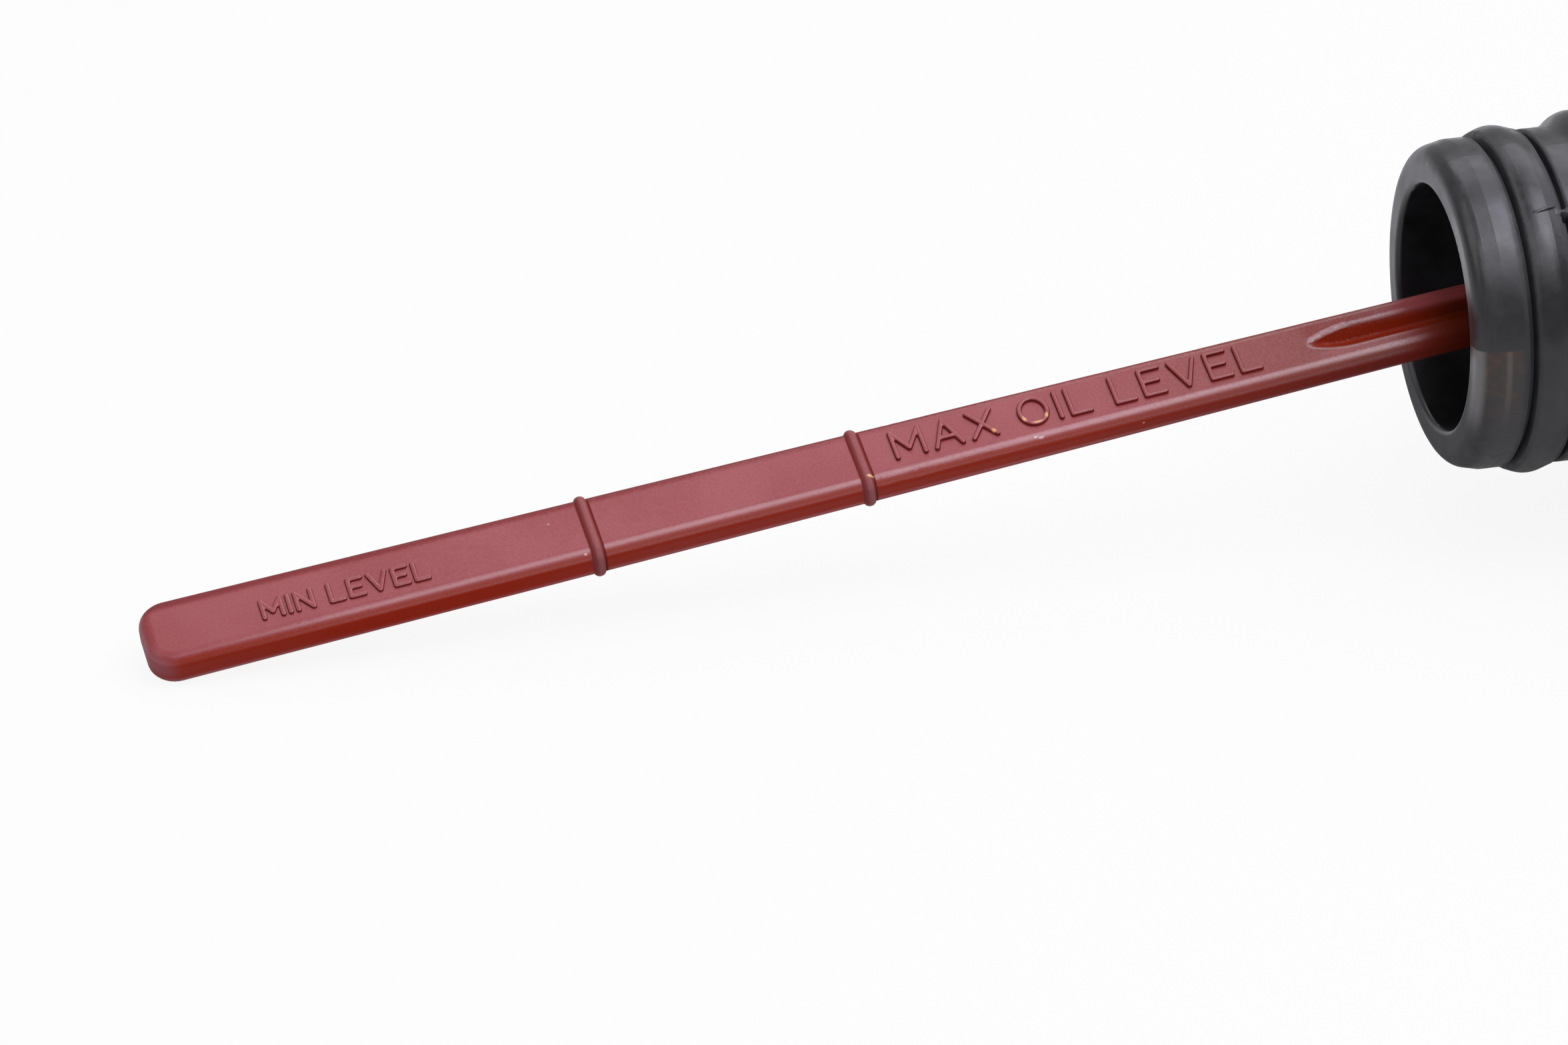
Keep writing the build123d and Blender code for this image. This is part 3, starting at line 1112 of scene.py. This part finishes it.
@dataclass
class SealingPlug:
    """The rubber plug: its node's finish and the moulding web across its groove."""

    node: str = "sealing_plug"
    past_outside: float = 40.0
    web_turn: float = radians(57.0)
    web_span: Point = (8.35, 10.15)
    web_steps: int = 24
    web_half_width: float = 0.70
    web_rise: float = 0.05
    web_sink: float = 0.1
    nick_span: Point = (6.2, 8.6)
    nick_steps: int = 20
    nick_half_width: float = 0.26
    nick_rise: float = 0.10
    nick_sink: float = 0.05
    nick_bend: float = 0.50
    bend_power: float = 1.5
    ridge_strips: int = 12
    ridge_sink: float = 0.3
    finish: BlackRubber = field(default_factory=BlackRubber)
    mouth: Vector = field(init=False)
    material: bpy.types.Material = field(init=False)

    def __post_init__(self) -> None:
        """Find the mouth from the node's box."""
        low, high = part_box(self.node)
        self.mouth = Vector((low.x, 0, (low.z + high.z) / 2))
        self.material = self.finish.material(self.mouth)

    def at(self, station: float, turn: float, radius: float) -> Vector:
        """Point of the plug at a station, a turn up from the camera's side and a radius."""
        out = Vector((0, -cos(turn), sin(turn)))
        return self.mouth + Vector((station * MM, 0, 0)) + out * radius * MM

    def surface(self, station: float, turn: float) -> float:
        """Radius of the node's outside.

        Args:
            station: Millimetres from the mouth.
            turn: Turn up from the camera's side.

        Returns:
            The radius in millimetres.
        """
        start = self.at(station, turn, self.past_outside)
        centre = self.at(station, turn, 0.0)
        hit, spot, _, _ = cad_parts[self.node].ray_cast(start, (centre - start).normalized())
        return (spot - centre).length / MM if hit else 0.0

    def dress(self) -> None:
        """Give the plug's node its finish."""
        dress_node(self.node, self.material)

    def build_ridge(self, name: str, span: Point, half_width: float, top: Sequence[float], foot: Sequence[float],
                    bend: float = 0.0) -> None:
        """Build a small closed ridge along the plug's axis.

        Args:
            name: Name of the piece.
            span: First and last station.
            half_width: Half its width round the plug.
            top: Radius of its crest at even steps along the span.
            foot: Radius of its sunk foot at the same steps.
            bend: How far it curves round the plug along the span.
        """
        shape = bmesh.new()
        strips = self.ridge_strips
        upper, lower = [], []
        for step, station in enumerate(even(span, len(top))):
            curve = bend * (step / (len(top) - 1)) ** self.bend_power
            shares = [2 * index / strips - 1 for index in range(strips + 1)]
            turns = [self.web_turn + (share * half_width + curve) / LAND_RADIUS for share in shares]
            radii = [foot[step] + (top[step] - foot[step]) * cos(share * pi / 2) for share in shares]
            upper.append([shape.verts.new(self.at(station, turn, radius)) for turn, radius in zip(turns, radii)])
            lower.append([shape.verts.new(self.at(station, turn, foot[step] - self.ridge_sink)) for turn in turns])
        for rows in (upper, lower):
            for first, last in zip(rows, rows[1:]):
                for index in range(strips):
                    shape.faces.new((first[index], first[index + 1], last[index + 1], last[index]))
        rims = [[row[index] for row in rows] for index in (0, strips) for rows in (upper, lower)]
        for above, under in (rims[:2], rims[2:], (upper[0], lower[0]), (upper[-1], lower[-1])):
            for index in range(len(above) - 1):
                shape.faces.new((above[index], above[index + 1], under[index + 1], under[index]))
        new_piece(name, closed_mesh(name, shape), self.material)

    def build_web(self) -> None:
        """Bridge the rear groove by the web that the mould left there."""
        skin = [self.surface(station, self.web_turn) for station in even(self.web_span, self.web_steps)]
        crest = even((skin[0], skin[-1]), self.web_steps)
        swell = [self.web_rise * sin(turn) for turn in even((0.0, pi), self.web_steps)]
        top = [max(level, radius) + rise for level, radius, rise in zip(crest, skin, swell)]
        foot = [min(level, radius) - self.web_sink for level, radius in zip(crest, skin)]
        self.build_ridge("groove_web", self.web_span, self.web_half_width, top, foot)

    def build_nick(self) -> None:
        """Raise the short flash line that runs from the web over the rib."""
        skin = [self.surface(station, self.web_turn) for station in even(self.nick_span, self.nick_steps)]
        swell = [self.nick_rise * sin(turn) for turn in even((0.0, pi), self.nick_steps)]
        top = [radius + rise for radius, rise in zip(skin, swell)]
        foot = [radius - self.nick_sink for radius in skin]
        self.build_ridge("rib_flash", self.nick_span, self.nick_half_width, top, foot, self.nick_bend)


@dataclass(frozen=True)
class Lamp:
    """A soft rectangular studio lamp."""

    name: str
    direction: tuple[float, float, float]
    size: Point
    radiance: float
    colour: Colour
    distance: float = 0.75

    def build(self, target: Vector) -> None:
        """Hang the lamp and aim it.

        Args:
            target: Where it is aimed.
        """
        data = bpy.data.lights.new(self.name, "AREA")
        data.shape = "RECTANGLE"
        data.size, data.size_y = self.size
        data.energy = self.radiance * pi * self.size[0] * self.size[1]
        data.color = self.colour
        lamp = bpy.data.objects.new(self.name, data)
        bpy.context.scene.collection.objects.link(lamp)
        out = Vector(self.direction).normalized()
        side = (Vector((1, 0, 0)) - out * out.x).normalized()
        turn = Matrix((side, out.cross(side), out)).transposed()
        lamp.matrix_world = Matrix.Translation(target + out * self.distance) @ turn.to_4x4()


@dataclass
class Studio:
    """Pale floor, soft light and the camera at the photograph's viewing angle."""

    mouth: Vector
    camera_offset: tuple[float, float, float] = (-0.23514, -0.72784, 0.40359)
    camera_forward: tuple[float, float, float] = (0.2041, 0.8489, -0.4875)
    focal_pixels: float = 14338.3
    sensor_width: float = 36.0
    clip: Point = (0.01, 50.0)
    floor_size: float = 6.0
    floor_white: Colour = (0.66, 0.66, 0.66)
    floor_glow: float = 0.91
    mirrored_glow: float = 0.125
    sky_strength: float = 0.18
    mirrored_sky: float = 0.42
    lamps: tuple[Lamp, ...] = (
        Lamp("overhead", (0.375, -0.11, 0.920), (0.74, 0.50), 3.9, (0.89, 0.88, 1.0)),
        Lamp("back_top", (0.30, 0.64, 0.71), (0.80, 0.44), 1.8, (0.92, 0.93, 1.0)),
        Lamp("front_top", (0.08, -0.52, 0.85), (0.95, 0.36), 2.3, (0.94, 0.93, 1.0)),
        Lamp("left", (-0.72, 0.05, 0.66), (0.60, 0.50), 1.2, (0.98, 0.98, 1.0)),
    )

    def glow_share(self, graph: Graph, seen: float, mirrored: float) -> Socket:
        """Share of plain white in the floor or surround, by the kind of ray.

        Args:
            graph: Graph of the floor's material or of the world.
            seen: Share for rays from the camera.
            mirrored: Share for rays from a reflection or through a clear material.

        Returns:
            The share.
        """
        path = graph.add("ShaderNodeLightPath").outputs
        bounced = graph.math("MAXIMUM", path["Is Glossy Ray"], path["Is Transmission Ray"])
        return graph.math("MAXIMUM", graph.times(path["Is Camera Ray"], seen), graph.times(bounced, mirrored))

    def build_floor(self) -> None:
        """Lay the floor that the dipstick rests on."""
        half = self.floor_size / 2
        mesh = bpy.data.meshes.new("floor")
        corners = [(-half, -half, 0), (half, -half, 0), (half, half, 0), (-half, half, 0)]
        mesh.from_pydata(corners, [], [(0, 1, 2, 3)])
        floor = bpy.data.objects.new("floor", mesh)
        bpy.context.scene.collection.objects.link(floor)
        material, graph, shader = start_material("pale_floor")
        shader.inputs["Base Color"].default_value = rgba(self.floor_white)
        shader.inputs["Roughness"].default_value = 1.0
        shader.inputs["Specular IOR Level"].default_value = 0.0
        glow = graph.add("ShaderNodeEmission", {"Color": (1, 1, 1, 1), "Strength": 1.0})
        share = self.glow_share(graph, self.floor_glow, self.mirrored_glow)
        mixed = graph.add("ShaderNodeMixShader", {0: share, 1: shader.outputs[0], 2: glow.outputs[0]})
        end = material.node_tree.nodes["Material Output"]
        graph.feed(end.inputs["Surface"], mixed.outputs[0])
        mesh.materials.append(material)

    def build_light(self) -> None:
        """Light the dipstick softly from above."""
        scene = bpy.context.scene
        scene.view_settings.view_transform = "Standard"
        world = bpy.data.worlds.new("soft_surround")
        scene.world = world
        world.use_nodes = True
        surround = world.node_tree.nodes["Background"]
        surround.inputs["Color"].default_value = (1, 1, 1, 1)
        graph = Graph(world.node_tree)
        white = self.glow_share(graph, 1.0, self.mirrored_sky)
        graph.feed(surround.inputs["Strength"], graph.math("MAXIMUM", white, self.sky_strength))
        for lamp in self.lamps:
            lamp.build(Vector((0, 0, self.mouth.z)))

    def build_camera(self) -> None:
        """Set the camera where the photograph was taken from."""
        data = bpy.data.cameras.new("camera")
        data.sensor_width = self.sensor_width
        data.lens = self.focal_pixels * self.sensor_width / IMAGE_WIDTH
        data.clip_start, data.clip_end = self.clip
        camera = bpy.data.objects.new("camera", data)
        bpy.context.scene.collection.objects.link(camera)
        camera.location = self.mouth + Vector(self.camera_offset)
        camera.rotation_mode = "QUATERNION"
        camera.rotation_quaternion = Vector(self.camera_forward).to_track_quat("-Z", "Y")
        bpy.context.scene.camera = camera


def main() -> None:
    """Build the pieces in order, then the studio."""
    logging.basicConfig(level=logging.INFO, format="%(name)s: %(message)s")
    plug = SealingPlug()
    plug.dress()
    plug.build_web()
    plug.build_nick()
    blade = GaugeBlade(plug.mouth)
    blade.dress()
    blade.build_words()
    blade.build_seams()
    studio = Studio(plug.mouth)
    studio.build_floor()
    studio.build_light()
    studio.build_camera()


if __name__ == "__main__":
    main()
